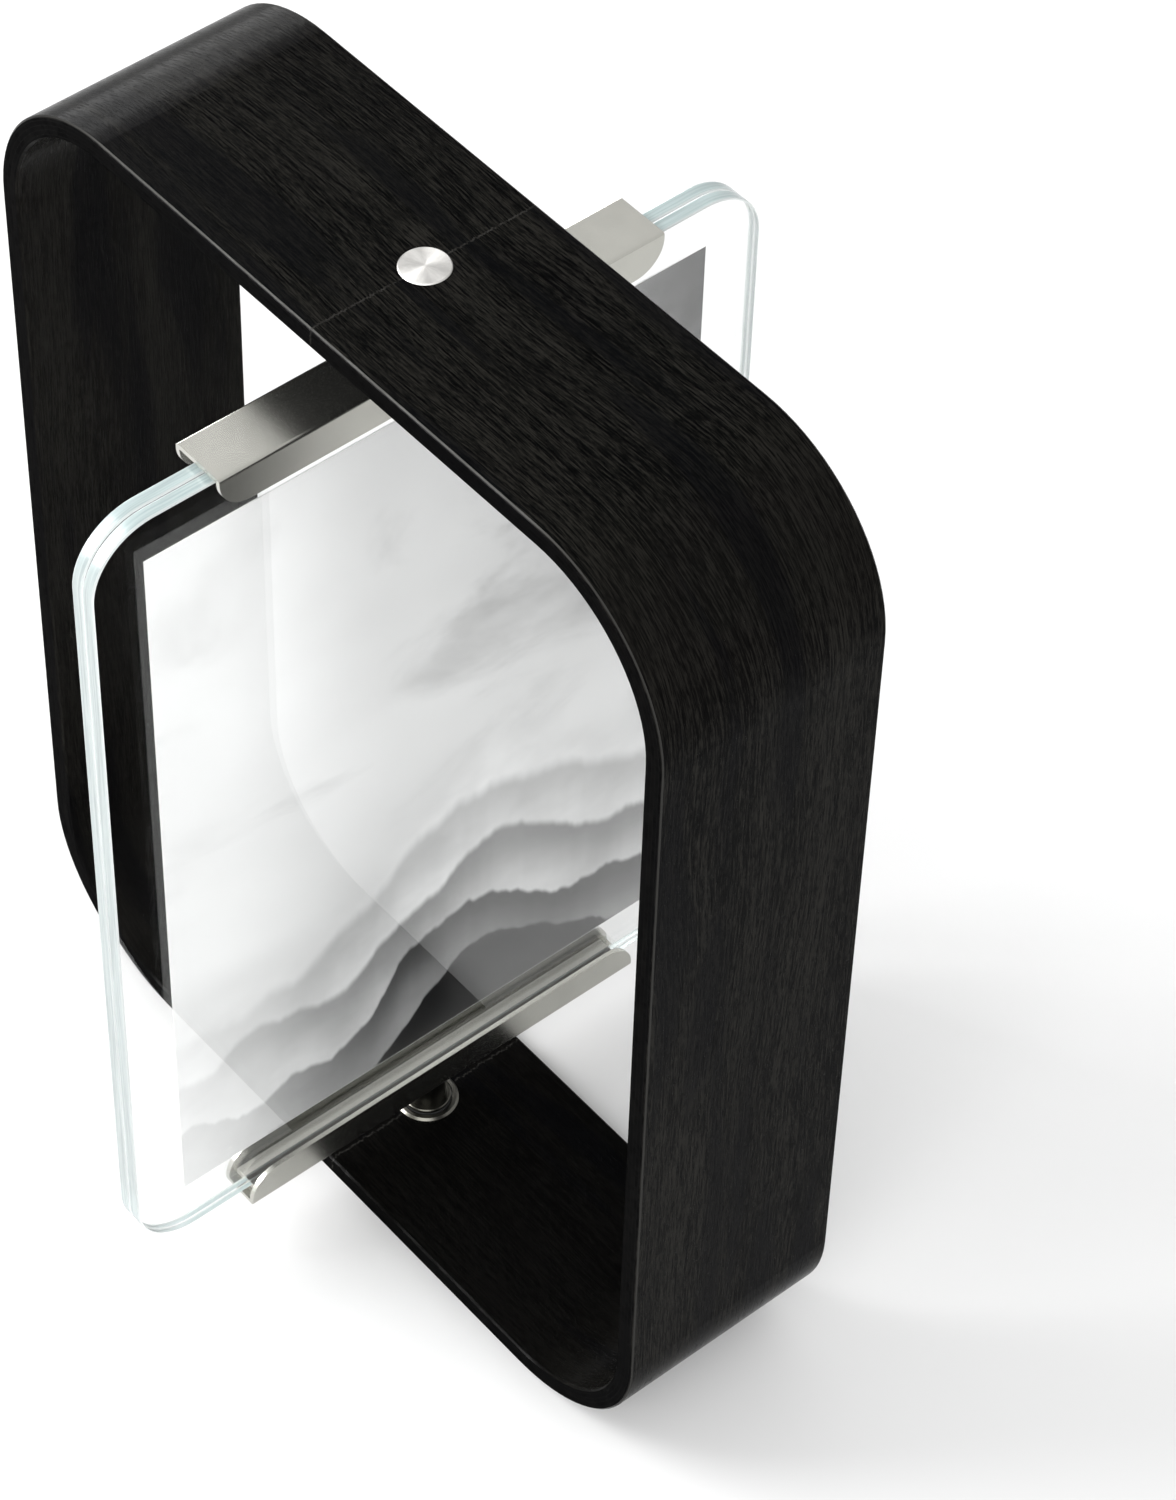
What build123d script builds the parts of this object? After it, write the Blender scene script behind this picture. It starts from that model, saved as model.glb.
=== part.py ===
from build123d import *
import os

os.makedirs("parts", exist_ok=True)

# A photo display for a table. A laminated bentwood loop stands on its flat side, and a pack of two
# glass panes with a print between them turns inside it on an upright axis.
# Frame: millimetres, origin on the table under the middle of the loop, X across the loop, Y through
# its depth, +Z up. At rest the glass is turned square to the loop and lies along Y.

# Bentwood loop
loop_width = 187.0
loop_height = 238.0
loop_depth = 50.0
loop_corner_radius = 33.3
ply_thickness = 0.92
rim_arris = 0.4
splice_lap = 15.0
ply_layers = ["outer_face_ply", "outer_core_ply", "centre_ply", "inner_core_ply", "inner_face_ply"]
lapped_layer = "centre_ply"
band_thickness = ply_thickness * len(ply_layers)

# Glass pack. Its width leaves room to turn inside the loop, and its height is worked out below.
glass_side_room = 13.4
glass_width = loop_width - 2 * (band_thickness + glass_side_room)
glass_corner_radius = 13.5
pane_thickness = 2.9
pane_arris = 0.35
print_side_border = 12.0
print_end_border = 11.3
print_thickness = 0.2
pack_thickness = 2 * pane_thickness + print_thickness
pack_offset = 0.6

# Folded channels that hold the glass pack
channel_end_inset = 25.8
channel_length = glass_width - 2 * channel_end_inset
channel_width = 12.4
channel_leg = 7.8
channel_sheet = 1.0
channel_bend = 0.6
channel_inner_bend = 0.2
channel_end_radius = 6.6

# Soft liner strips in the channels
liner_base = 1.5
liner_grip = 1.4
liner_inset = 2.0

# Bushes in the band
bush_bore_radius = 2.45
bush_barrel_radius = 3.6
bush_flange_radius = 6.6
bush_flange = 1.2
bush_chamfer = 0.45
bush_seat_radius = 5.4
bush_seat_depth = 0.5

# Thrust washers in the seats of the bushes
washer_radius = 5.1
washer_bore_radius = 2.5
washer_thickness = 0.6

# Hubs between the channels and the bushes
hub_length = 10.125
hub_collar_radius = 4.95
hub_collar = 0.8
hub_collar_chamfer = 0.2
hub_post_radius = 3.8
hub_spigot_radius = 2.8
hub_bore_radius = 1.9
hub_bore_depth = 8.0

# Pivot pin in the top and pivot screw in the underside
head_radius = 4.85
head_thickness = 1.6
head_chamfer = 0.2
shoulder_radius = 2.4
shank_tip_gap = 0.6
socket_flats = 3.0
socket_depth = 1.8
cap_proud = 0.15
screw_inset = 0.4

# Clearances
head_side_gap = 0.06
head_end_gap = 0.1
thrust_gap = 0.05
end_play = 0.3

# One overrun for cuts
overrun = 1.0

# Heights along the upright axis, each measured from an outer face of the loop. The glass takes up
# what the bushes, hubs and channels leave of the loop's height.
washer_top = band_thickness + bush_flange - bush_seat_depth + washer_thickness
bottom_hub_start = washer_top + thrust_gap
top_hub_start = washer_top + end_play
bottom_web = bottom_hub_start + hub_length
top_web = top_hub_start + hub_length
panel_height = loop_height - bottom_web - top_web
glass_height = panel_height - 2 * (liner_base + channel_sheet)
pack_centre_height = bottom_web + panel_height / 2
print_width = glass_width - 2 * print_side_border
print_height = glass_height - 2 * print_end_border


# Planes for each end of the axis, at a height from the outer face of the loop there. On a turning
# plane local X runs out from the axis and local Y towards the glass. On a drilling plane local Z
# points away from the loop.
def turning_plane(end, height=0):
    if end == "top":
        return Plane(origin=(0, 0, loop_height - height), x_dir=(1, 0, 0), z_dir=(0, 1, 0))
    return Plane(origin=(0, 0, height), x_dir=(1, 0, 0), z_dir=(0, -1, 0))


def drilling_plane(end, height=0):
    outward = 1 if end == "top" else -1
    return Plane(origin=turning_plane(end, height).origin, x_dir=(1, 0, 0), z_dir=(0, 0, outward))


def finish(part, name):
    part.label = name
    export_step(part, f"parts/{name}.step")


ends = ("top", "bottom")
head_sink = {"top": -cap_proud, "bottom": screw_inset}
recess_depth = {end: sink + head_thickness + head_end_gap for end, sink in head_sink.items()}
hub_start = {"top": top_hub_start, "bottom": bottom_hub_start}
web_start = {"top": top_web, "bottom": bottom_web}


# One ply of one half of the loop: a strip with the section of a ply, bent round two corners. The
# centre ply runs past the seam at one end and stops short at the other, so the halves splice.
def bent_ply(layer, hand):
    depth_in = ply_thickness * ply_layers.index(layer)
    lap = splice_lap if layer == lapped_layer else 0
    side = hand * (loop_width / 2 - depth_in)
    low = depth_in
    high = loop_height - depth_in
    with BuildLine(Plane.XZ) as course:
        FilletPolyline((lap, high), (side, high), (side, low), (-lap, low), radius=loop_corner_radius - depth_in)
    start = Plane(origin=course.line @ 0, x_dir=(0, -hand, 0), z_dir=course.line % 0)
    with BuildPart() as ply:
        with BuildSketch(start) as section:
            Rectangle(loop_depth, ply_thickness, align=(Align.CENTER, Align.MIN))
            if layer == ply_layers[0]:
                chamfer(section.vertices().group_by(Axis.Y)[0], rim_arris)
            if layer == ply_layers[-1]:
                chamfer(section.vertices().group_by(Axis.Y)[-1], rim_arris)
        sweep(path=course.line)
        for end in ends:
            with Locations(drilling_plane(end)):
                CounterBoreHole(
                    bush_barrel_radius,
                    head_radius + head_side_gap,
                    recess_depth[end],
                    band_thickness + overrun,
                )
    return ply.part


for side_name, side_hand in (("left", -1), ("right", 1)):
    for layer_name in ply_layers:
        finish(bent_ply(layer_name, side_hand), f"{side_name}_{layer_name}")


# Flanged bush: the barrel is pressed through the band, and the flange lies on its inner face with
# a shallow seat for the washer.
def bush(end):
    barrel_start = recess_depth[end]
    flange_top = band_thickness + bush_flange
    with BuildPart() as turned:
        with BuildSketch(turning_plane(end)) as profile:
            with Locations((0, barrel_start)):
                Rectangle(bush_barrel_radius, flange_top - barrel_start, align=(Align.MIN, Align.MIN))
            with Locations((0, band_thickness)):
                Rectangle(bush_flange_radius, bush_flange, align=(Align.MIN, Align.MIN))
            chamfer(profile.vertices().group_by(Axis.X)[-1].sort_by(Axis.Y)[-1], bush_chamfer)
            with Locations((0, flange_top)):
                Rectangle(bush_seat_radius, bush_seat_depth, align=(Align.MIN, Align.MAX), mode=Mode.SUBTRACT)
            Rectangle(bush_bore_radius, flange_top + overrun, align=(Align.MIN, Align.MIN), mode=Mode.SUBTRACT)
        revolve(axis=Axis.Z)
    return turned.part


# Plain plastic washer that carries the panel at the bottom and steadies it at the top.
def thrust_washer(end):
    with BuildPart() as washer:
        with BuildSketch(turning_plane(end, washer_top - washer_thickness)):
            Rectangle(washer_radius, washer_thickness, align=(Align.MIN, Align.MIN))
            Rectangle(washer_bore_radius, washer_thickness, align=(Align.MIN, Align.MIN), mode=Mode.SUBTRACT)
        revolve(axis=Axis.Z)
    return washer.part


# Hub: a turned spacer with a collar that runs on the washer and a spigot staked flush in the web of
# the channel.
def hub(end):
    with BuildPart() as turned:
        with BuildSketch(turning_plane(end, hub_start[end])) as profile:
            Rectangle(hub_collar_radius, hub_collar, align=(Align.MIN, Align.MIN))
            chamfer(profile.vertices().group_by(Axis.X)[-1].sort_by(Axis.Y)[-1], hub_collar_chamfer)
            Rectangle(hub_post_radius, hub_length, align=(Align.MIN, Align.MIN))
            Rectangle(hub_spigot_radius, hub_length + channel_sheet, align=(Align.MIN, Align.MIN))
            Rectangle(hub_bore_radius, hub_bore_depth, align=(Align.MIN, Align.MIN), mode=Mode.SUBTRACT)
        revolve(axis=Axis.Z)
    return turned.part


# Pivot: a flat round head, a shoulder that turns in the bush and a shank held in the hub. The one
# below has a hexagon socket, and the one on top has a plain face.
def pivot(end):
    head_under = head_sink[end] + head_thickness
    tip = hub_start[end] + hub_bore_depth - shank_tip_gap
    with BuildPart() as turned:
        with BuildSketch(turning_plane(end)) as profile:
            with Locations((0, head_sink[end])):
                Rectangle(head_radius, head_thickness, align=(Align.MIN, Align.MIN))
            chamfer(profile.vertices().group_by(Axis.X)[-1].sort_by(Axis.Y)[0], head_chamfer)
            with Locations((0, head_under)):
                Rectangle(shoulder_radius, hub_start[end] - head_under, align=(Align.MIN, Align.MIN))
                Rectangle(hub_bore_radius, tip - head_under, align=(Align.MIN, Align.MIN))
        revolve(axis=Axis.Z)
        if end == "bottom":
            with BuildSketch(Plane.XY.offset(head_sink[end])):
                RegularPolygon(socket_flats / 2, 6, major_radius=False)
            extrude(amount=socket_depth, mode=Mode.SUBTRACT)
    return turned.part


# Folded channel: a flat web and two legs, with the free corners of the legs rounded off.
def channel(end):
    with BuildPart() as folded:
        with BuildSketch(turning_plane(end, web_start[end])) as section:
            Rectangle(channel_width, channel_leg, align=(Align.CENTER, Align.MIN))
            fillet(section.vertices().group_by(Axis.Y)[0], channel_bend)
            with BuildSketch(mode=Mode.PRIVATE) as inside:
                with Locations((0, channel_sheet)):
                    Rectangle(channel_width - 2 * channel_sheet, channel_leg, align=(Align.CENTER, Align.MIN))
                fillet(inside.vertices().group_by(Axis.Y)[0], channel_inner_bend)
            add(inside.sketch, mode=Mode.SUBTRACT)
        extrude(amount=channel_length / 2, both=True)
        free = 0 if end == "top" else -1
        fillet(folded.edges().filter_by(Axis.X).group_by(Axis.Z)[free], channel_end_radius)
        with Locations(drilling_plane(end, web_start[end])):
            Hole(hub_spigot_radius, channel_sheet + overrun)
    return folded.part


# Liner strip: lines the channel under and beside the edge of the glass.
def liner(end):
    inner_width = channel_width - 2 * channel_sheet
    with BuildPart() as strip:
        with BuildSketch(turning_plane(end, web_start[end] + channel_sheet)) as section:
            Rectangle(inner_width, liner_base + liner_grip, align=(Align.CENTER, Align.MIN))
            fillet(section.vertices().group_by(Axis.Y)[0], channel_inner_bend)
            with Locations((pack_offset, liner_base)):
                Rectangle(pack_thickness, liner_grip, align=(Align.CENTER, Align.MIN), mode=Mode.SUBTRACT)
        extrude(amount=channel_length / 2 - liner_inset, both=True)
    return strip.part


# Glass pane: rounded corners and a ground arris round both faces.
def pane(start):
    with BuildPart() as glass:
        with BuildSketch(Plane.YZ.offset(start)):
            with Locations((0, pack_centre_height)):
                RectangleRounded(glass_width, glass_height, glass_corner_radius)
        extrude(amount=pane_thickness)
        chamfer(glass.faces().filter_by(Axis.X).edges(), pane_arris)
    return glass.part


for end_name in ends:
    finish(bush(end_name), f"{end_name}_bush")
    finish(thrust_washer(end_name), f"{end_name}_thrust_washer")
    finish(hub(end_name), f"{end_name}_hub")
    finish(channel(end_name), f"{end_name}_channel")
    finish(liner(end_name), f"{end_name}_liner")
finish(pivot("top"), "top_pivot_pin")
finish(pivot("bottom"), "bottom_pivot_screw")
finish(pane(pack_offset + print_thickness / 2), "front_pane")
finish(pane(pack_offset - print_thickness / 2 - pane_thickness), "rear_pane")

# The print, held between the panes.
with BuildPart() as photo_print:
    with BuildSketch(Plane.YZ.offset(pack_offset - print_thickness / 2)):
        with Locations((0, pack_centre_height)):
            Rectangle(print_width, print_height)
    extrude(amount=print_thickness)
finish(photo_print.part, "photo_print")

print("glass", round(glass_width, 3), "by", round(glass_height, 3), "centre", round(pack_centre_height, 3))
print("print", round(print_width, 3), "by", round(print_height, 3), "channel", round(channel_length, 3))
print("channel webs from the outer faces", round(bottom_web, 3), round(top_web, 3))
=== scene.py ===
import math

import bmesh
import bpy
from mathutils import Matrix, Vector


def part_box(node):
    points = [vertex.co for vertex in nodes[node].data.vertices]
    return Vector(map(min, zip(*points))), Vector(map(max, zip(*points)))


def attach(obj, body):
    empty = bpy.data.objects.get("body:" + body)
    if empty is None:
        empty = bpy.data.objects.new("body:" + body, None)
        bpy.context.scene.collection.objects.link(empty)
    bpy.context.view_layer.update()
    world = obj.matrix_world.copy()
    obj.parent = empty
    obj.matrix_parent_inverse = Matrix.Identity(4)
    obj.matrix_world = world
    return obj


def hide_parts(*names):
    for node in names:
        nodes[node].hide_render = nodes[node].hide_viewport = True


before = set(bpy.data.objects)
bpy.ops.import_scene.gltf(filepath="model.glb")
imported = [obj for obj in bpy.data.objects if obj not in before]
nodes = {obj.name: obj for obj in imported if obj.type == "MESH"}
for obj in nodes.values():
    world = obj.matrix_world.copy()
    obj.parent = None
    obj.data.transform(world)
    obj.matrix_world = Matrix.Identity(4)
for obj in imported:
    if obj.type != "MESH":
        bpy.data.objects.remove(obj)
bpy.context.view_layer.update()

scene = bpy.context.scene
scene.view_settings.view_transform = "Standard"

# Camera at the photograph's view
cameraView = {
    "azimuth": 51.315,  # degrees round the display, 0 looks along +Y
    "elevation": 48.539,
    "roll": -0.141,
    "distance": 0.9447,  # metres from the target on the turning axis
    "targetHeight": 0.1066,
    "lens": 118.22,
    "sensorWidth": 36,
    "shiftX": 0.10785,
    "shiftY": 0.01492,
    "clipStart": 0.01,
    "clipEnd": 20,
}


def placeCamera(view):
    azimuth = math.radians(view["azimuth"])
    elevation = math.radians(view["elevation"])
    roll = math.radians(view["roll"])
    right = Vector((math.cos(azimuth), math.sin(azimuth), 0))
    back = Vector((
        math.sin(azimuth) * math.cos(elevation),
        -math.cos(azimuth) * math.cos(elevation),
        math.sin(elevation),
    ))
    up = back.cross(right)
    across = right * math.cos(roll) + up * math.sin(roll)
    upright = up * math.cos(roll) - right * math.sin(roll)
    turned = Matrix((across, upright, back)).transposed().to_4x4()
    turned.translation = Vector((0, 0, view["targetHeight"])) + back * view["distance"]
    bpy.ops.object.camera_add()
    camera = bpy.context.object
    camera.name = "photoCamera"
    camera.matrix_world = turned
    camera.data.lens = view["lens"]
    camera.data.sensor_width = view["sensorWidth"]
    camera.data.shift_x = view["shiftX"]
    camera.data.shift_y = view["shiftY"]
    camera.data.clip_start = view["clipStart"]
    camera.data.clip_end = view["clipEnd"]
    scene.camera = camera


placeCamera(cameraView)
print("camera placed")

perMetre = 1000  # millimetres
noiseSpan = (0.3, 0.7)  # most values of a noise lie between these
vectorSocket = "NodeSocketVector"
floatSocket = "NodeSocketFloat"
colourSocket = "NodeSocketColor"


# Shader node helpers. A value or another node's output goes to each input.
def join(tree, value, socket):
    if isinstance(value, bpy.types.NodeSocket):
        tree.links.new(value, socket)
    else:
        socket.default_value = value


def addNode(tree, kind, inputs=None, **settings):
    node = tree.nodes.new(kind)
    for name, value in settings.items():
        setattr(node, name, value)
    for key, value in (inputs or {}).items():
        join(tree, value, node.inputs[key])
    return node


def calc(tree, operation, *values):
    node = addNode(tree, "ShaderNodeMath", operation=operation)
    for socket, value in zip(node.inputs, values):
        join(tree, value, socket)
    return node.outputs[0]


def absolute(tree, value):
    return calc(tree, "ABSOLUTE", value)


def rise(tree, value, low, high, start=0.0, end=1.0):
    inputs = {"Value": value, "From Min": low, "From Max": high, "To Min": start, "To Max": end}
    return addNode(tree, "ShaderNodeMapRange", inputs, interpolation_type="SMOOTHSTEP").outputs[0]


def fall(tree, value, low, high):
    return calc(tree, "SUBTRACT", 1.0, rise(tree, value, low, high))


def split(tree, vector):
    return addNode(tree, "ShaderNodeSeparateXYZ", {0: vector}).outputs


def combine(tree, x=0.0, y=0.0, z=0.0):
    return addNode(tree, "ShaderNodeCombineXYZ", {0: x, 1: y, 2: z}).outputs[0]


def stretch(tree, vector, factors):
    return addNode(tree, "ShaderNodeVectorMath", {0: vector, 1: factors}, operation="MULTIPLY").outputs[0]


def shaded(tree, colour, shade):
    return addNode(tree, "ShaderNodeVectorMath", {0: colour, "Scale": shade}, operation="SCALE").outputs[0]


def noise(tree, vector, detail=2.0, roughness=0.5, distortion=0.0):
    inputs = {"Vector": vector, "Scale": 1.0, "Detail": detail, "Roughness": roughness}
    inputs["Distortion"] = distortion
    return addNode(tree, "ShaderNodeTexNoise", inputs).outputs[0]


def evenNoise(tree, vector, scale, detail=2.0, roughness=0.5):
    return noise(tree, stretch(tree, vector, (scale, scale, scale)), detail, roughness)


def mixColours(tree, factor, first, second):
    node = addNode(tree, "ShaderNodeMix", data_type="RGBA")
    join(tree, factor, node.inputs[0])
    join(tree, first, node.inputs[6])
    join(tree, second, node.inputs[7])
    return node.outputs[2]


def newGroup(name, inputs, outputs):
    group = bpy.data.node_groups.new(name, "ShaderNodeTree")
    for socketName, kind in inputs.items():
        group.interface.new_socket(name=socketName, in_out="INPUT", socket_type=kind)
    for socketName, kind in outputs.items():
        group.interface.new_socket(name=socketName, in_out="OUTPUT", socket_type=kind)
    return group, group.nodes.new("NodeGroupInput").outputs, group.nodes.new("NodeGroupOutput").inputs


def useGroup(tree, group, **values):
    node = addNode(tree, "ShaderNodeGroup", node_tree=group)
    for name, value in values.items():
        join(tree, value, node.inputs[name])
    return node.outputs


def newMaterial(name, plain):
    material = bpy.data.materials.new(name)
    material.use_nodes = True
    tree = material.node_tree
    shader = tree.nodes["Principled BSDF"]
    for socketName, value in plain.items():
        shader.inputs[socketName].default_value = value
    return material, tree, shader.inputs


def objectMillimetres(tree):
    place = addNode(tree, "ShaderNodeTexCoord").outputs["Object"]
    return stretch(tree, place, (perMetre, perMetre, perMetre))


def splitNormal(tree):
    return split(tree, addNode(tree, "ShaderNodeTexCoord").outputs["Normal"])


# The pattern swings the roughness evenly about its middle
def addRoughness(tree, shader, pattern, middle, spread):
    join(tree, calc(tree, "MULTIPLY_ADD", pattern, spread, middle - spread / 2), shader["Roughness"])


def addRelief(tree, shader, height, strength, metres):
    relief = addNode(tree, "ShaderNodeBump", {"Strength": strength, "Distance": metres, "Height": height})
    join(tree, relief.outputs[0], shader["Normal"])


def dress(material, *names):
    for name in names:
        slots = nodes[name].data.materials
        slots.clear()
        slots.append(material)


# Effect: coordinates that follow the bentwood band, in millimetres. Course runs from the middle of
# the top round a corner, down the side and back to the middle of the bottom, and each half and each
# ply has a place of its own in it. Depth is the distance in from the outer face of the band.
bandShape = {
    "width": 187.0,
    "height": 238.0,
    "cornerRadius": 33.3,
    "plyThickness": 0.92,
    "plies": 5,
    "faceSlack": 0.01,  # a point this far outside a ply's face still counts to it
    "halfShift": 47.0,
    "plyShift": 31.0,
    "plyDepth": 13.0,
}


def makeBandCourse(shape):
    radius = shape["cornerRadius"]
    halfAcross = shape["width"] / 2 - radius
    halfUp = shape["height"] / 2 - radius
    tree, given, result = newGroup(
        "bandCourse",
        {"Position": vectorSocket},
        {"Course": vectorSocket, "Depth": floatSocket},
    )
    place = split(tree, given["Position"])
    hand = calc(tree, "SIGN", place[0])
    across = absolute(tree, place[0])
    up = calc(tree, "SUBTRACT", place[2], shape["height"] / 2)
    flatAcross = calc(tree, "MINIMUM", across, halfAcross)
    flatUp = calc(tree, "MAXIMUM", calc(tree, "MINIMUM", up, halfUp), -halfUp)
    outAcross = calc(tree, "SUBTRACT", across, flatAcross)
    outUp = calc(tree, "SUBTRACT", up, flatUp)

    # The way along grows with the distance on the flats and with the angle round the corners
    turn = calc(tree, "ARCTAN2", outAcross, outUp)
    left = calc(tree, "MULTIPLY", calc(tree, "SIGN", up), calc(tree, "SUBTRACT", halfAcross, flatAcross))
    levelWay = calc(tree, "SUBTRACT", halfAcross, left)
    uprightWay = calc(tree, "SUBTRACT", halfUp, flatUp)
    along = calc(tree, "MULTIPLY_ADD", turn, radius, calc(tree, "ADD", levelWay, uprightWay))

    squareAcross = calc(tree, "MULTIPLY", outAcross, outAcross)
    squareUp = calc(tree, "MULTIPLY", outUp, outUp)
    reach = calc(tree, "SQRT", calc(tree, "ADD", squareAcross, squareUp))
    depth = calc(tree, "SUBTRACT", radius, reach)
    counted = calc(tree, "DIVIDE", calc(tree, "ADD", depth, shape["faceSlack"]), shape["plyThickness"])
    counted = calc(tree, "MINIMUM", calc(tree, "FLOOR", counted), shape["plies"] - 1)
    layer = calc(tree, "MAXIMUM", counted, 0.0)
    sideways = calc(tree, "MULTIPLY_ADD", layer, shape["plyShift"], place[1])
    sideways = calc(tree, "MULTIPLY_ADD", hand, shape["halfShift"], sideways)
    inward = calc(tree, "MULTIPLY", layer, shape["plyDepth"])
    join(tree, combine(tree, calc(tree, "MULTIPLY", along, hand), sideways, inward), result["Course"])
    join(tree, depth, result["Depth"])
    return tree


# Effect: grain of a stained open-pored veneer. Course runs along the grain in X, in millimetres.
# Tone is the light and dark of the fibres, Heart the dark tapering figure, Pores the open pores.
grainNoises = {
    # how often it changes along the grain, across it and from ply to ply, then detail, roughness
    # and distortion
    "fibres": ((0.36, 2.6, 1), 2.0, 0.7, 0.15),
    "strands": ((0.09, 2.6, 1), 2.0, 0.7),
    "lines": ((0.05, 0.8, 1), 2.0, 0.6),
    "zones": ((0.006, 0.085, 1), 2.0, 0.5),
    "pores": ((0.2, 2.7, 1), 2.0, 0.7),
    "figure": ((0.009, 0.10, 1), 1.0),
}
grainLook = {
    "wander": (0.008, 0.03, 1),
    "shares": {"fibres": 0.31, "strands": 0.37, "lines": 0.17, "zones": 0.15},
    "toneSpan": (0.435, 0.585),
    "figureRag": 0.22,  # how far the lines fray the figure's outline
    "figureSpan": (0.53, 0.61),
    "poreSpan": (0.54, 0.60),
    "poreHeight": -0.3,
    "strandHeight": 0.9,
    "fibreHeight": 0.3,
}


def makeVeneerGrain(noises, look):
    tree, given, result = newGroup(
        "veneerGrain",
        {"Course": vectorSocket, "Sway": floatSocket},
        {"Tone": floatSocket, "Heart": floatSocket, "Pores": floatSocket, "Height": floatSocket},
    )
    course = given["Course"]
    wander = noise(tree, stretch(tree, course, look["wander"]), 1.0)
    swayed = combine(tree, y=calc(tree, "MULTIPLY", wander, given["Sway"]))
    bent = addNode(tree, "ShaderNodeVectorMath", {0: course, 1: swayed}, operation="ADD").outputs[0]
    made = {}
    for name, (scale, *settings) in noises.items():
        made[name] = noise(tree, stretch(tree, bent, scale), *settings)

    mixed = 0.0
    for name, share in look["shares"].items():
        mixed = calc(tree, "MULTIPLY_ADD", made[name], share, mixed)
    join(tree, rise(tree, mixed, *look["toneSpan"]), result["Tone"])
    frayed = calc(tree, "SUBTRACT", made["lines"], 0.5)
    frayed = calc(tree, "MULTIPLY_ADD", frayed, look["figureRag"], made["figure"])
    join(tree, rise(tree, frayed, *look["figureSpan"]), result["Heart"])
    pores = rise(tree, made["pores"], *look["poreSpan"])
    join(tree, pores, result["Pores"])
    height = calc(tree, "MULTIPLY", made["strands"], look["strandHeight"])
    height = calc(tree, "MULTIPLY_ADD", pores, look["poreHeight"], height)
    height = calc(tree, "MULTIPLY_ADD", made["fibres"], look["fibreHeight"], height)
    join(tree, height, result["Height"])
    return tree


bandCourse = makeBandCourse(bandShape)
veneerGrain = makeVeneerGrain(grainNoises, grainLook)

# Bentwood plies. Widths are in millimetres, and shares go from 0 to 1.
veneerLook = {
    "dark": (0.0006, 0.0006, 0.0007, 1),
    "light": (0.0156, 0.0148, 0.0129, 1),
    "middleTone": 0.45,
    "heart": (0.0018, 0.0019, 0.0026, 1),
    "heartShare": 0.6,
    "pore": (0.0003, 0.0003, 0.0003, 1),
    "poreShare": 0.8,
    "bendSoftening": 0.9,  # how much less of the grain shows on the bends, where the polish is thicker
    "shadeInset": (34, 12),  # from the side, where the level parts' shade goes over to the sides'
    "rim": (0.0005, 0.0005, 0.0006, 1),
    "rimFacing": (0.7, 0.85),
    "rimGrain": 0.15,
    "glueLine": (0.0042, 0.0041, 0.0040, 1),
    "glueShare": 0.7,
    "glueSpan": (0.03, 0.13),  # of a ply's thickness
    # Painted highlight along the outer arris, held darker on the upright sides
    "arris": (0.060, 0.0585, 0.0555, 1),
    "shadedSideArris": (0.028, 0.0275, 0.026, 1),
    "arrisInset": (40, 14),
    "arrisFacing": (0.2, 0.4),
    "arrisWidth": 0.2,
    "arrisFade": 0.12,
    "sway": 12.0,
    "rough": 0.22,
    "roughTone": -0.04,
    "roughPores": 0.10,
    "roughRim": 0.55,
    "roughArris": -0.06,
    "reliefStrength": 0.6,
    "relief": 0.00006,  # metres
}
# The two halves meet in a slightly uneven seam that is worn in places
seamLook = {
    "colour": (0.026, 0.025, 0.023, 1),
    "width": 0.10,
    "fade": 2.5,
    "waves": 1.5,
    "swing": -2.4,
    "wornScale": 0.7,
    "wornSpan": (0.32, 0.6),
}
# Painted shade: how much of the grain's tone shows on the level parts and on the upright sides, darker
# where less light falls; and the grain's contrast
veneerKinds = {
    "outerVeneer": {"specular": 0.014, "paintedShades": (0.9, 0.95), "contrast": 0.98},
    "innerVeneer": {"specular": 0.012, "paintedShades": (0.42, 1.0), "contrast": 0.5},
}


def towardsSide(tree, sideways, insets, shape, *ends):
    half = shape["width"] / 2
    return rise(tree, sideways, half - insets[0], half - insets[1], *ends)


def addVeneerFace(tree, grain, normal, sideways, kind, look, shape):
    bend = calc(tree, "MULTIPLY", absolute(tree, normal[0]), absolute(tree, normal[2]))
    contrast = kind["contrast"]
    strength = calc(tree, "MULTIPLY_ADD", bend, -look["bendSoftening"] * contrast, contrast)
    tone = calc(tree, "SUBTRACT", grain["Tone"], look["middleTone"])
    tone = calc(tree, "MULTIPLY_ADD", tone, strength, look["middleTone"])
    # Painted shade: the grain's tone is held lower on the level parts than on the upright sides
    shade = towardsSide(tree, sideways, look["shadeInset"], shape, *kind["paintedShades"])
    tone = calc(tree, "MULTIPLY", tone, shade)
    face = mixColours(tree, tone, look["dark"], look["light"])
    face = mixColours(tree, calc(tree, "MULTIPLY", grain["Heart"], look["heartShare"]), face, look["heart"])
    pores = calc(tree, "MULTIPLY", calc(tree, "MULTIPLY", grain["Pores"], look["poreShare"]), strength)
    return mixColours(tree, pores, face, look["pore"])


# The rims show the edges of the plies, with a fine line between each two, and a painted highlight along the
# arris outside, held darker on the upright sides
def addVeneerRim(tree, face, depth, sideways, rimMask, arrisMask, look, shape):
    place = calc(tree, "ADD", calc(tree, "DIVIDE", depth, shape["plyThickness"]), 0.5)
    toLine = absolute(tree, calc(tree, "SUBTRACT", calc(tree, "FRACT", place), 0.5))
    line = fall(tree, toLine, *look["glueSpan"])
    rim = mixColours(tree, calc(tree, "MULTIPLY", line, look["glueShare"]), look["rim"], look["glueLine"])
    colour = mixColours(tree, rimMask, face, mixColours(tree, look["rimGrain"], rim, face))
    # Painted highlight on the outer arris, darker on the upright sides where less light falls
    upright = towardsSide(tree, sideways, look["arrisInset"], shape)
    arris = mixColours(tree, upright, look["arris"], look["shadedSideArris"])
    return mixColours(tree, arrisMask, colour, arris)


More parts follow.
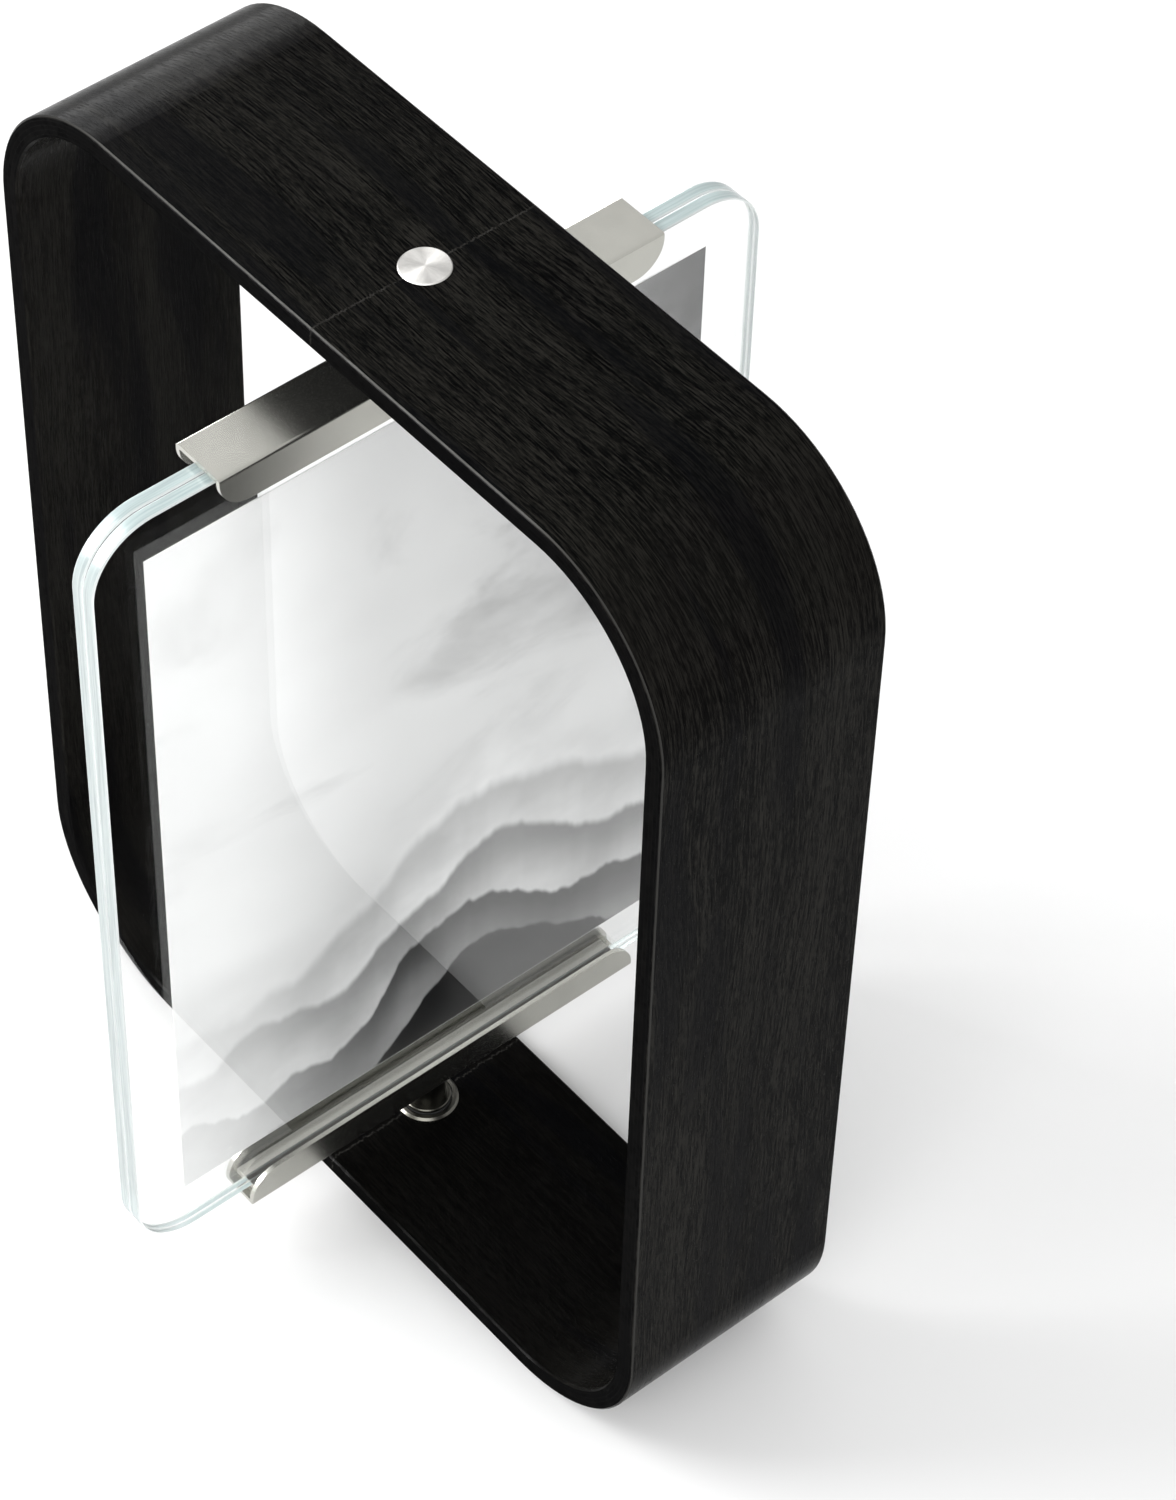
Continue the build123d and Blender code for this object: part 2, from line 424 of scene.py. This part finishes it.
def addSeam(tree, colour, place, look):
    across = combine(tree, calc(tree, "MULTIPLY", place[1], look["waves"]), place[2])
    uneven = calc(tree, "SUBTRACT", noise(tree, across, 4.0, 0.75), 0.5)
    toSeam = absolute(tree, calc(tree, "MULTIPLY_ADD", uneven, look["swing"], place[0]))
    seam = fall(tree, toSeam, look["width"], look["width"] * look["fade"])
    worn = rise(tree, evenNoise(tree, across, look["wornScale"], 3.0, 0.7), *look["wornSpan"])
    return mixColours(tree, calc(tree, "MULTIPLY", seam, worn), colour, look["colour"])


def makeVeneer(name, kind, look, seam, shape):
    material, tree, shader = newMaterial(name, {"Specular IOR Level": kind["specular"]})
    position = objectMillimetres(tree)
    place = split(tree, position)
    sideways = absolute(tree, place[0])
    course = useGroup(tree, bandCourse, Position=position)
    grain = useGroup(tree, veneerGrain, Course=course["Course"], Sway=look["sway"])
    normal = splitNormal(tree)
    facing = absolute(tree, normal[1])
    rimMask = rise(tree, facing, *look["rimFacing"])
    outermost = fall(tree, course["Depth"], look["arrisWidth"], look["arrisWidth"] + look["arrisFade"])
    arrisMask = calc(tree, "MULTIPLY", rise(tree, facing, *look["arrisFacing"]), outermost)
    colour = addVeneerFace(tree, grain, normal, sideways, kind, look, shape)
    colour = addVeneerRim(tree, colour, course["Depth"], sideways, rimMask, arrisMask, look, shape)
    join(tree, addSeam(tree, colour, place, seam), shader["Base Color"])

    rough = calc(tree, "MULTIPLY_ADD", grain["Tone"], look["roughTone"], look["rough"])
    rough = calc(tree, "MULTIPLY_ADD", grain["Pores"], look["roughPores"], rough)
    rough = calc(tree, "MULTIPLY_ADD", rimMask, look["roughRim"], rough)
    join(tree, calc(tree, "MULTIPLY_ADD", arrisMask, look["roughArris"], rough), shader["Roughness"])
    addRelief(tree, shader, grain["Height"], look["reliefStrength"], look["relief"])
    return material


outerPlies = [name for name in nodes if name.endswith("_outer_face_ply")]
otherPlies = [name for name in nodes if name.endswith("_ply") and name not in outerPlies]
for veneerName, plies in (("outerVeneer", outerPlies), ("innerVeneer", otherPlies)):
    dress(makeVeneer(veneerName, veneerKinds[veneerName], veneerLook, seamLook, bandShape), *plies)
print("bentwood dressed")


# Effect: fine satin finish of rolled or turned metal. Grain sets how the pattern is drawn out.
def makeSatinGrain():
    tree, given, result = newGroup(
        "satinGrain",
        {"Position": vectorSocket, "Grain": vectorSocket},
        {"Streaks": floatSocket, "Clouds": floatSocket},
    )
    drawn = stretch(tree, given["Position"], given["Grain"])
    join(tree, noise(tree, drawn, 4.0, 0.7), result["Streaks"])
    join(tree, evenNoise(tree, given["Position"], 0.09), result["Clouds"])
    return tree


satinGrain = makeSatinGrain()

# Metal parts. Relief is in metres.
evenGrain = (6.0, 6.0, 6.0)
turnedGrain = (3.0, 3.0, 9.0)
metalLooks = {
    "channel": {"colour": (0.500, 0.496, 0.455), "rough": 0.25, "grain": evenGrain, "relief": 0.00000005},
    # Painted shade: the bush and hub are far darker than bare nickel, standing in for the shade and dark
    # reflections at the foot of the band
    "bush": {"colour": (0.125, 0.122, 0.108), "rough": 0.30, "grain": turnedGrain, "relief": 0.000003},
    "hub": {"colour": (0.08, 0.078, 0.068), "rough": 0.30, "grain": turnedGrain, "relief": 0.000003},
}
satinLook = {"cloudShade": (0.94, 1.03), "roughSpread": 0.16, "reliefStrength": 0.5}
# Painted shade inside the channels: a dark colour between their legs, darkest as a painted shadow down
# beside the liner. Towards their open ends, where light gets in, they go back to the bare metal.
# Millimetres.
channelInsideShade = {
    "colour": (0.105, 0.104, 0.088, 1),
    "creviceShadow": (0.02, 0.02, 0.018, 1),
    "sideSpan": (5.21, 5.26),
    "middleHeight": 118.875,
    "webSpan": (101.9, 102.1),
    "endSpan": (46.5, 48.1),
    "creviceSpan": (99.5, 99.9),
}


def addPaintedChannelShade(tree, position, colour, insideShade):
    place = split(tree, position)
    between = fall(tree, absolute(tree, place[0]), *insideShade["sideSpan"])
    reach = absolute(tree, calc(tree, "SUBTRACT", place[2], insideShade["middleHeight"]))
    above = fall(tree, reach, *insideShade["webSpan"])
    covered = fall(tree, absolute(tree, place[1]), *insideShade["endSpan"])
    mask = calc(tree, "MULTIPLY", calc(tree, "MULTIPLY", between, above), covered)
    # Painted shade: a dark colour between the legs, darkest as a painted shadow down beside the liner
    shadeColour = mixColours(tree, rise(tree, reach, *insideShade["creviceSpan"]), insideShade["colour"], insideShade["creviceShadow"])
    return mixColours(tree, mask, colour, shadeColour)


def makeSatinMetal(name, kind, look, insideShade=None):
    material, tree, shader = newMaterial(name, {"Metallic": 1.0})
    position = objectMillimetres(tree)
    grain = useGroup(tree, satinGrain, Position=position, Grain=kind["grain"])
    shade = rise(tree, grain["Clouds"], *noiseSpan, *look["cloudShade"])
    colour = shaded(tree, kind["colour"], shade)
    if insideShade:
        colour = addPaintedChannelShade(tree, position, colour, insideShade)
    join(tree, colour, shader["Base Color"])
    addRoughness(tree, shader, grain["Streaks"], kind["rough"], look["roughSpread"])
    addRelief(tree, shader, grain["Streaks"], look["reliefStrength"], kind["relief"])
    return material


satinNickel = makeSatinMetal("satinNickel", metalLooks["channel"], satinLook, channelInsideShade)
dress(satinNickel, "top_channel", "bottom_channel")
dress(makeSatinMetal("turnedNickel", metalLooks["bush"], satinLook), "top_bush", "bottom_bush")
dress(makeSatinMetal("shadeDarkenedNickel", metalLooks["hub"], satinLook), "top_hub", "bottom_hub")

# Spun cap of the top pivot and the head of the screw below, with painted highlight wedges round the axis
spunLook = {
    "colour": (0.58, 0.57, 0.55),
    "rough": 0.34,
    "roughSpread": 0.12,
    "ringsPerMillimetre": 7.0,
    "ringDrift": 0.6,
    "wedges": 2.6,
    "wedgeTwist": 0.12,
    "wedgeSpan": (0.35, 0.65),
    "wedgeShade": (0.9, 1.04),
    "reliefStrength": 0.6,
    "relief": 0.000006,  # metres
    "pull": 0.72,
}


def makeSpunMetal(look):
    material, tree, shader = newMaterial("spunNickel", {"Metallic": 1.0, "Anisotropic": look["pull"]})
    place = split(tree, objectMillimetres(tree))
    level = combine(tree, place[0], place[1])
    radius = addNode(tree, "ShaderNodeVectorMath", {0: level}, operation="LENGTH").outputs["Value"]
    turn = calc(tree, "ARCTAN2", place[1], place[0])
    ringPlace = calc(tree, "MULTIPLY", radius, look["ringsPerMillimetre"])
    rings = noise(tree, combine(tree, ringPlace, calc(tree, "MULTIPLY", turn, look["ringDrift"])), 3.0, 0.7)
    # Painted highlight: lighter and darker wedges round the axis, standing in for light spread across the
    # spun rings
    twist = calc(tree, "MULTIPLY", radius, look["wedgeTwist"])
    wedgePlace = combine(tree, calc(tree, "SINE", turn), calc(tree, "COSINE", turn), twist)
    wedges = evenNoise(tree, wedgePlace, look["wedges"], 3.0, 0.6)
    shade = rise(tree, wedges, *look["wedgeSpan"], *look["wedgeShade"])
    join(tree, shaded(tree, look["colour"], shade), shader["Base Color"])
    addRoughness(tree, shader, rings, look["rough"], look["roughSpread"])
    addRelief(tree, shader, rings, look["reliefStrength"], look["relief"])
    around = addNode(tree, "ShaderNodeTangent", direction_type="RADIAL", axis="Z")
    join(tree, around.outputs[0], shader["Tangent"])
    return material


dress(makeSpunMetal(spunLook), "top_pivot_pin", "bottom_pivot_screw")
print("metal dressed")

# Plastics. Relief is in metres.
plasticLooks = {
    "linerPlastic": {"colour": (0.47, 0.46, 0.43), "rough": 0.42, "speckle": 0.05},
    "washerPlastic": {"colour": (0.03, 0.03, 0.03), "rough": 0.5, "speckle": 0.2},
}
plasticLook = {"specular": 0.4, "grain": 2.5, "roughSpread": 0.1, "reliefStrength": 0.3, "relief": 0.00001}
# The liners carry a painted shadow in the gaps beside the panes and beside the legs of the channels.
# Millimetres.
linerGapShadows = {
    "packMiddle": 0.6,
    "packHalf": 3.0,
    "glassSpan": (3.05, 3.25),
    "legSpan": (4.95, 5.15),
    "shade": 0.12,
    "endFacing": (0.5, 0.8),
}


def addPaintedGapShadows(tree, position, shade, gapShadows):
    place = split(tree, position)
    fromPack = absolute(tree, calc(tree, "SUBTRACT", place[0], gapShadows["packMiddle"]))
    besideGlass = rise(tree, fromPack, *gapShadows["glassSpan"], gapShadows["shade"], 1.0)
    besideLeg = rise(tree, absolute(tree, place[0]), *gapShadows["legSpan"], 1.0, gapShadows["shade"])
    atEnd = rise(tree, absolute(tree, splitNormal(tree)[1]), *gapShadows["endFacing"])
    # Painted shadow: the liner is darkened in the gaps beside the glass and beside the legs, except on its
    # end faces
    gapShade = calc(tree, "MAXIMUM", calc(tree, "MULTIPLY", besideGlass, besideLeg), atEnd)
    return calc(tree, "MULTIPLY", shade, gapShade)


def makePlastic(name, kind, look, gapShadows=None):
    material, tree, shader = newMaterial(name, {"Specular IOR Level": look["specular"]})
    position = objectMillimetres(tree)
    fine = evenNoise(tree, position, look["grain"], 3.0)
    shade = rise(tree, fine, *noiseSpan, 1 - kind["speckle"], 1 + kind["speckle"])
    if gapShadows:
        shade = addPaintedGapShadows(tree, position, shade, gapShadows)
    join(tree, shaded(tree, kind["colour"], shade), shader["Base Color"])
    addRoughness(tree, shader, fine, kind["rough"], look["roughSpread"])
    addRelief(tree, shader, fine, look["reliefStrength"], look["relief"])
    return material


# Liners: soft strips with a shallow seat for the panes. Millimetres.
linerShape = {
    "base": 1.5,
    "lip": 0.2,
    "roundEdge": 0.08,
    "roundSteps": 2,
    "halfWay": 100,  # a liner below this height is the bottom one
    "seatFacing": 0.9,
    "smoothAngle": 40,  # degrees
}


def makeLiner(name, node, material, shape, gapShadows):
    low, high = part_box(node)
    bottom = low.z < shape["halfWay"] / perMetre
    reach = (shape["base"] + shape["lip"]) / perMetre
    middle = low.z + reach / 2 if bottom else high.z - reach / 2
    bpy.ops.object.select_all(action="DESELECT")
    bpy.ops.mesh.primitive_cube_add(size=1, location=((low.x + high.x) / 2, (low.y + high.y) / 2, middle))
    liner = bpy.context.object
    liner.name = name
    liner.scale = (high.x - low.x, high.y - low.y, reach)
    bpy.ops.object.transform_apply(location=True, rotation=True, scale=True)

    # The strip is cut beside the panes, and the part between the cuts is pressed in by the lip's height
    seatLow = (gapShadows["packMiddle"] - gapShadows["packHalf"]) / perMetre
    seatHigh = (gapShadows["packMiddle"] + gapShadows["packHalf"]) / perMetre
    bpy.ops.object.mode_set(mode="EDIT")
    for cut in (seatLow, seatHigh):
        bpy.ops.mesh.select_all(action="SELECT")
        bpy.ops.mesh.bisect(plane_co=(cut, 0, 0), plane_no=(1, 0, 0))
    bpy.ops.mesh.select_mode(type="FACE")
    bpy.ops.mesh.select_all(action="DESELECT")
    mesh = bmesh.from_edit_mesh(liner.data)
    inward = 1 if bottom else -1
    for face in mesh.faces:
        centre = face.calc_center_median()
        square = face.normal.z * inward > shape["seatFacing"]
        face.select_set(square and seatLow < centre.x < seatHigh)
    bmesh.update_edit_mesh(liner.data)
    press = (0, 0, -inward * shape["lip"] / perMetre)
    bpy.ops.mesh.extrude_region_move(TRANSFORM_OT_translate={"value": press})
    bpy.ops.object.mode_set(mode="OBJECT")
    liner.data.materials.append(material)
    soft = liner.modifiers.new("roundEdges", "BEVEL")
    soft.width = shape["roundEdge"] / perMetre
    soft.segments = shape["roundSteps"]
    soft.limit_method = "ANGLE"
    bpy.ops.object.modifier_apply(modifier=soft.name)
    bpy.ops.object.shade_smooth_by_angle(angle=math.radians(shape["smoothAngle"]))
    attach(liner, "panel")
    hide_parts(node)
    return liner


linerPlastic = makePlastic("linerPlastic", plasticLooks["linerPlastic"], plasticLook, linerGapShadows)
for pieceName, nodeName in (("topSoftStrip", "top_liner"), ("bottomSoftStrip", "bottom_liner")):
    made = makeLiner(pieceName, nodeName, linerPlastic, linerShape, linerGapShadows)
    print(made.name, "made", len(made.data.polygons), "faces")
washerPlastic = makePlastic("washerPlastic", plasticLooks["washerPlastic"], plasticLook)
dress(washerPlastic, "top_thrust_washer", "bottom_thrust_washer")
print("plastic dressed")

# Glass panes: clear faces, and ground edges in the pale blue green of sheet glass, with painted highlights
# on the arrises, painted light on the downward faces and painted shade inside the channels
paneShape = {
    "cornerRadius": 0.0135,  # metres
    "cornerSteps": 14,
    "arris": 0.00035,
    "arrisSteps": 2,
    "slack": 1e-6,  # corners nearer than this lie in one line
    "faceFacing": 0.99,
    "smoothAngle": 12,  # degrees
}
glassLook = {
    "ior": 1.52,
    "face": (0.998, 1.0, 0.999),
    "film": 0.05,
    "filmShade": (0.992, 1.0),
    "haze": 0.004,
    "lamplight": (0.990, 0.995, 0.993, 1),
}
edgeLook = {
    "clear": 0.3,
    "ior": 1.52,
    "far": (0.92, 0.95, 0.945, 1),
    "near": (0.49, 0.55, 0.547, 1),
    "nearFacing": (-0.15, -0.8),
    "top": (0.50, 0.60, 0.60, 1),  # seen through the pane's full height
    "topFacing": (0.1, 0.95),
    # Painted highlight on the slanted arris faces
    "arris": (0.78, 0.82, 0.818, 1),
    "arrisSlant": (0.2, 0.5),
    # Painted light: the downward-facing edges are white, as lit from the pale floor
    "bottom": (1.0, 1.0, 1.0, 1),
    "bottomFacing": (-0.15, -0.8),
    # Painted shade: the edge is made darker where it lies in the dark of a channel
    "heldSpan": (47.1, 48.1),  # nearer to the axis the edge lies in the dark of a channel, millimetres
    "heldShade": 0.3,
    "streaks": (2.4, 0.05, 0.05),
    "streakSpan": (0.35, 0.65),
    "streakShade": 0.12,
    "rough": 0.22,
    "roughSpread": 0.12,
}


# Lamplight and soft light go straight through the faces, so that the print is lit as by real glass
def makeClearGlass(look):
    material, tree, shader = newMaterial("clearGlass", {"Transmission Weight": 1.0, "IOR": look["ior"]})
    film = evenNoise(tree, objectMillimetres(tree), look["film"], 3.0)
    shade = rise(tree, film, *noiseSpan, *look["filmShade"])
    join(tree, shaded(tree, look["face"], shade), shader["Base Color"])
    join(tree, calc(tree, "MULTIPLY", film, look["haze"]), shader["Roughness"])
    lampWay = addNode(tree, "ShaderNodeBsdfTransparent", {"Color": look["lamplight"]})
    path = addNode(tree, "ShaderNodeLightPath").outputs
    lampLight = calc(tree, "MAXIMUM", path["Is Shadow Ray"], path["Is Diffuse Ray"])
    pane = tree.nodes["Principled BSDF"].outputs[0]
    both = addNode(tree, "ShaderNodeMixShader", {0: lampLight, 1: pane, 2: lampWay.outputs[0]})
    join(tree, both.outputs[0], tree.nodes["Material Output"].inputs["Surface"])
    return material


def makeGroundEdge(look):
    plain = {"Transmission Weight": look["clear"], "IOR": look["ior"]}
    material, tree, shader = newMaterial("groundEdge", plain)
    normal = splitNormal(tree)
    position = objectMillimetres(tree)
    streaks = noise(tree, stretch(tree, position, look["streaks"]), 3.0, 0.6)
    edge = mixColours(tree, rise(tree, normal[1], *look["nearFacing"]), look["far"], look["near"])
    edge = mixColours(tree, rise(tree, normal[2], *look["topFacing"]), edge, look["top"])
    shade = rise(tree, streaks, *look["streakSpan"], 1 - look["streakShade"], 1 + look["streakShade"])
    edge = shaded(tree, edge, shade)
    slant = absolute(tree, normal[0])
    # Painted highlight: the slanted arris faces are made near-white
    edge = mixColours(tree, rise(tree, slant, *look["arrisSlant"]), edge, look["arris"])
    # Painted light: the downward faces are made white, lighter than the other edges
    edge = mixColours(tree, rise(tree, normal[2], *look["bottomFacing"]), edge, look["bottom"])
    # Painted shade where the edge lies in the dark of a channel
    held = rise(tree, absolute(tree, split(tree, position)[1]), *look["heldSpan"], look["heldShade"], 1.0)
    join(tree, shaded(tree, edge, held), shader["Base Color"])
    addRoughness(tree, shader, streaks, look["rough"], look["roughSpread"])
    return material


def pickEdges(piece, wanted):
    bpy.ops.object.mode_set(mode="EDIT")
    bpy.ops.mesh.select_mode(type="EDGE")
    bpy.ops.mesh.select_all(action="DESELECT")
    mesh = bmesh.from_edit_mesh(piece.data)
    for edge in mesh.edges:
        edge.select_set(wanted(edge.verts[1].co - edge.verts[0].co))
    bmesh.update_edit_mesh(piece.data)


def makePane(name, node, materials, shape):
    low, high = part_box(node)
    bpy.ops.object.select_all(action="DESELECT")
    bpy.ops.mesh.primitive_cube_add(size=1, location=(low + high) / 2)
    pane = bpy.context.object
    pane.name = name
    pane.scale = high - low
    bpy.ops.object.transform_apply(location=True, rotation=True, scale=True)
    pickEdges(pane, lambda run: run.yz.length < shape["slack"])
    bpy.ops.mesh.bevel(offset=shape["cornerRadius"], segments=shape["cornerSteps"])
    pickEdges(pane, lambda run: abs(run.x) < shape["slack"])
    bpy.ops.mesh.bevel(offset=shape["arris"], segments=shape["arrisSteps"])
    bpy.ops.object.mode_set(mode="OBJECT")
    for material in materials:
        pane.data.materials.append(material)
    for face in pane.data.polygons:
        face.material_index = 0 if abs(face.normal.x) > shape["faceFacing"] else 1
    bpy.ops.object.shade_smooth_by_angle(angle=math.radians(shape["smoothAngle"]))
    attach(pane, "panel")
    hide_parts(node)
    return pane


paneMaterials = [makeClearGlass(glassLook), makeGroundEdge(edgeLook)]
for pieceName, nodeName in (("frontGlass", "front_pane"), ("rearGlass", "rear_pane")):
    made = makePane(pieceName, nodeName, paneMaterials, paneShape)
    print(made.name, "made", len(made.data.polygons), "faces")

# Print between the panes: a grey landscape of misty hills on photo paper with a hair of bare edge
printLook = {
    "gap": 0.00002,  # metres left to the glass on each side
    "margin": 0.00008,
    "specular": 0.4,
    "gloss": 0.32,
    "glossSpread": 0.06,
    "glossGrain": 2.0,
    "paper": (0.86, 0.86, 0.85),
    "paperSpecular": 0.3,
    "paperGrain": 1.6,
    "paperShade": (0.96, 1.02),
    "paperRough": 0.55,
    "paperRoughSpread": 0.1,
}
# Tones of the picture, from 0 to 1. Places go from 0 at its left and bottom to 1 at its right and top.
hillsLook = {
    "skyTones": (1.0, 0.99),
    "skySpan": (0.45, 1.05),
    "cornerShade": 0.70,
    "cornerAcross": (0.45, 1.05),
    "cornerUp": (0.35, 1.1),
    "sideShade": 0.30,
    "sideSpan": (0.1, 0.45),
    "clouds": (2.2, 5.2, 1),
    "cloudSpan": (0.5, 0.78),
    "cloudShade": 0.30,
    "veil": (1.1, 2.0, 1),
    "veilTones": (-0.07, 0.09),
    "leftMist": 0.22,  # how much of the hills shows through the mist at the left edge
    "mistSpan": (0.0, 0.5),
    "peakPlace": 0.60,
    "peakHalf": 0.34,
    "peakLift": (0.07, -0.04),
    "ridges": [
        # height, swing, waves, seed, tone at the crest, tone in the mist below, softness
        (0.36, 0.10, 2.1, 3.7, 0.72, 0.92, 0.035),
        (0.29, 0.12, 2.6, 11.3, 0.46, 0.86, 0.014),
        (0.21, 0.12, 3.0, 21.9, 0.22, 0.74, 0.008),
        (0.12, 0.11, 3.6, 33.1, 0.05, 0.36, 0.005),
        (0.02, 0.08, 4.4, 47.7, 0.010, 0.05, 0.004),
    ],
    "mistDepth": 0.14,
    "slopeGrain": (9.0, 16.0),
    "slopeShade": (0.93, 1.07),
}


def makeMistyHills(look):
    tree, given, result = newGroup("mistyHills", {"Place": vectorSocket}, {"Color": colourSocket})
    place = split(tree, given["Place"])
    tone = rise(tree, place[1], *look["skySpan"], *look["skyTones"])
    cornerAcross = rise(tree, place[0], *look["cornerAcross"])
    corner = calc(tree, "MULTIPLY", cornerAcross, rise(tree, place[1], *look["cornerUp"]))
    tone = calc(tree, "MULTIPLY_ADD", corner, -look["cornerShade"], tone)
    tone = calc(tree, "SUBTRACT", tone, rise(tree, place[0], *look["sideSpan"], 0.0, look["sideShade"]))
    clouds = noise(tree, stretch(tree, given["Place"], look["clouds"]), 6.0, 0.55, 0.7)
    tone = calc(tree, "MULTIPLY_ADD", rise(tree, clouds, *look["cloudSpan"]), -look["cloudShade"], tone)
    veil = noise(tree, stretch(tree, given["Place"], look["veil"]), 3.0)
    tone = calc(tree, "ADD", tone, rise(tree, veil, *noiseSpan, *look["veilTones"]))

    # Each ridge lies in front of the one before and grows paler downwards, into the mist
    shown = rise(tree, place[0], *look["mistSpan"], look["leftMist"], 1.0)
    toPeak = absolute(tree, calc(tree, "SUBTRACT", place[0], look["peakPlace"]))
    peak = rise(tree, toPeak, 0.0, look["peakHalf"], *look["peakLift"])
    for height, swing, waves, seed, crest, mist, soft in look["ridges"]:
        outline = noise(tree, combine(tree, calc(tree, "MULTIPLY", place[0], waves), seed), 6.0, 0.52)
        outline = calc(tree, "SUBTRACT", outline, 0.5)
        top = calc(tree, "ADD", calc(tree, "MULTIPLY_ADD", outline, swing * 2, height), peak)
        below = calc(tree, "SUBTRACT", top, place[1])
        mask = calc(tree, "MULTIPLY", rise(tree, below, -soft, soft), shown)
        slope = rise(tree, below, 0.0, look["mistDepth"], crest, mist)
        grain = noise(tree, stretch(tree, given["Place"], (*look["slopeGrain"], seed)), 3.0)
        slope = calc(tree, "MULTIPLY", slope, rise(tree, grain, *noiseSpan, *look["slopeShade"]))
        tone = addNode(tree, "ShaderNodeMix", {0: mask, 2: tone, 3: slope}).outputs[0]
    grey = addNode(tree, "ShaderNodeCombineColor", {0: tone, 1: tone, 2: tone})
    join(tree, grey.outputs[0], result["Color"])
    return tree


def makePicturePaper(look, hills):
    material, tree, shader = newMaterial("photoPaper", {"Specular IOR Level": look["specular"]})
    uvPlace = addNode(tree, "ShaderNodeUVMap", uv_map="picture").outputs[0]
    picture = useGroup(tree, makeMistyHills(hills), Place=uvPlace)
    join(tree, picture["Color"], shader["Base Color"])
    fibre = evenNoise(tree, objectMillimetres(tree), look["glossGrain"], 3.0)
    addRoughness(tree, shader, fibre, look["gloss"], look["glossSpread"])
    return material


def makePlainPaper(look):
    material, tree, shader = newMaterial("paperBack", {"Specular IOR Level": look["paperSpecular"]})
    fibre = evenNoise(tree, objectMillimetres(tree), look["paperGrain"], 4.0, 0.6)
    shade = rise(tree, fibre, *noiseSpan, *look["paperShade"])
    join(tree, shaded(tree, look["paper"], shade), shader["Base Color"])
    addRoughness(tree, shader, fibre, look["paperRough"], look["paperRoughSpread"])
    return material


def makePrint(look, hills):
    low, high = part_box("photo_print")
    thick = high.x - low.x - 2 * look["gap"]
    bpy.ops.object.select_all(action="DESELECT")
    facingRight = (math.pi / 2, 0, math.pi / 2)
    bpy.ops.mesh.primitive_plane_add(size=1, location=(low + high) / 2, rotation=facingRight)
    sheet = bpy.context.object
    sheet.name = "photoSheet"
    sheet.scale = (high.y - low.y, high.z - low.z, 1)
    bpy.ops.object.transform_apply(location=True, rotation=True, scale=True)
    bpy.ops.object.mode_set(mode="EDIT")
    bpy.ops.mesh.select_all(action="SELECT")
    bpy.ops.mesh.inset(thickness=look["margin"])
    bpy.ops.object.mode_set(mode="OBJECT")

    # The inset leaves the inner face selected, which is the picture
    sheet.data.materials.append(makePlainPaper(look))
    sheet.data.materials.append(makePicturePaper(look, hills))
    for face in sheet.data.polygons:
        if face.select:
            face.material_index = 1
    solid = sheet.modifiers.new("paper", "SOLIDIFY")
    solid.thickness = thick
    solid.offset = 0
    solid.material_offset = -1
    solid.material_offset_rim = -1
    bpy.ops.object.modifier_apply(modifier=solid.name)

    # The picture lies flat across the sheet, its left edge nearest to the camera
    for old in list(sheet.data.uv_layers):
        sheet.data.uv_layers.remove(old)
    uv = sheet.data.uv_layers.new(name="picture")
    for corner in sheet.data.loops:
        point = sheet.data.vertices[corner.vertex_index].co
        across = (point.y - low.y) / (high.y - low.y)
        uv.data[corner.index].uv = (across, (point.z - low.z) / (high.z - low.z))
    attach(sheet, "panel")
    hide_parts("photo_print")
    return sheet


photoSheet = makePrint(printLook, hillsLook)
print("print made", len(photoSheet.data.polygons), "faces")

# Table, seen as plain pale ground on every side. It lies a hair under the base, so no faces coincide.
floorLook = {
    "size": 6.0,  # metres
    "below": 0.0001,
    "colour": (0.80, 0.80, 0.80),
    "cloud": 0.004,
    "cloudShade": (0.99, 1.01),
    "rough": 0.9,
}


def makeFloor(look):
    bpy.ops.object.select_all(action="DESELECT")
    bpy.ops.mesh.primitive_plane_add(size=look["size"], location=(0, 0, -look["below"]))
    floor = bpy.context.object
    floor.name = "paleFloor"
    plain = {"Specular IOR Level": 0.0, "Roughness": look["rough"]}
    material, tree, shader = newMaterial("paleGround", plain)
    cloud = evenNoise(tree, objectMillimetres(tree), look["cloud"])
    shade = rise(tree, cloud, *noiseSpan, *look["cloudShade"])
    join(tree, shaded(tree, look["colour"], shade), shader["Base Color"])
    floor.data.materials.append(material)


makeFloor(floorLook)

# Studio light: an even pale room, a large softbox on the left, a weaker one in front, and three boxes
# that are seen only in the gloss: one along the front edges and two on the left corner
middle = (0, 0, 0.08)
leftCorner = (-0.08, 0, 0.225)
roomLight = 0.87
softboxes = {
    # power, size, distance, target, direction from the target, seen only in the gloss
    "keySoftbox": (13.0, 0.7, 1.3, middle, (-0.75, -0.66, 0.9), False),
    "frontSoftbox": (9.7, 0.9, 1.3, middle, (0.60, -0.68, 0.60), False),
    "edgeStrip": (22.0, 0.3, 1.2, middle, (-0.517, -0.748, 0.413), True),
    "highSheen": (3.0, 0.28, 1.2, leftCorner, (-0.780, 0.395, 0.485), True),
    "lowSheen": (4.2, 0.5, 1.2, leftCorner, (-0.878, 0.444, 0.174), True),
}


def addSoftbox(name, power, size, distance, target, direction, glossOnly):
    away = Vector(direction).normalized()
    bpy.ops.object.light_add(type="AREA", location=Vector(target) + away * distance)
    lamp = bpy.context.object
    lamp.name = name
    lamp.rotation_euler = away.to_track_quat("Z", "Y").to_euler()
    lamp.data.shape = "SQUARE"
    lamp.data.size = size
    lamp.data.energy = power
    lamp.visible_transmission = False
    lamp.visible_diffuse = not glossOnly


def lightRoom(strength):
    world = bpy.data.worlds.new("paleRoom")
    world.use_nodes = True
    background = world.node_tree.nodes["Background"].inputs
    background["Color"].default_value = (1, 1, 1, 1)
    background["Strength"].default_value = strength
    scene.world = world


lightRoom(roomLight)
for boxName, settings in softboxes.items():
    addSoftbox(boxName, *settings)
print("studio lit")
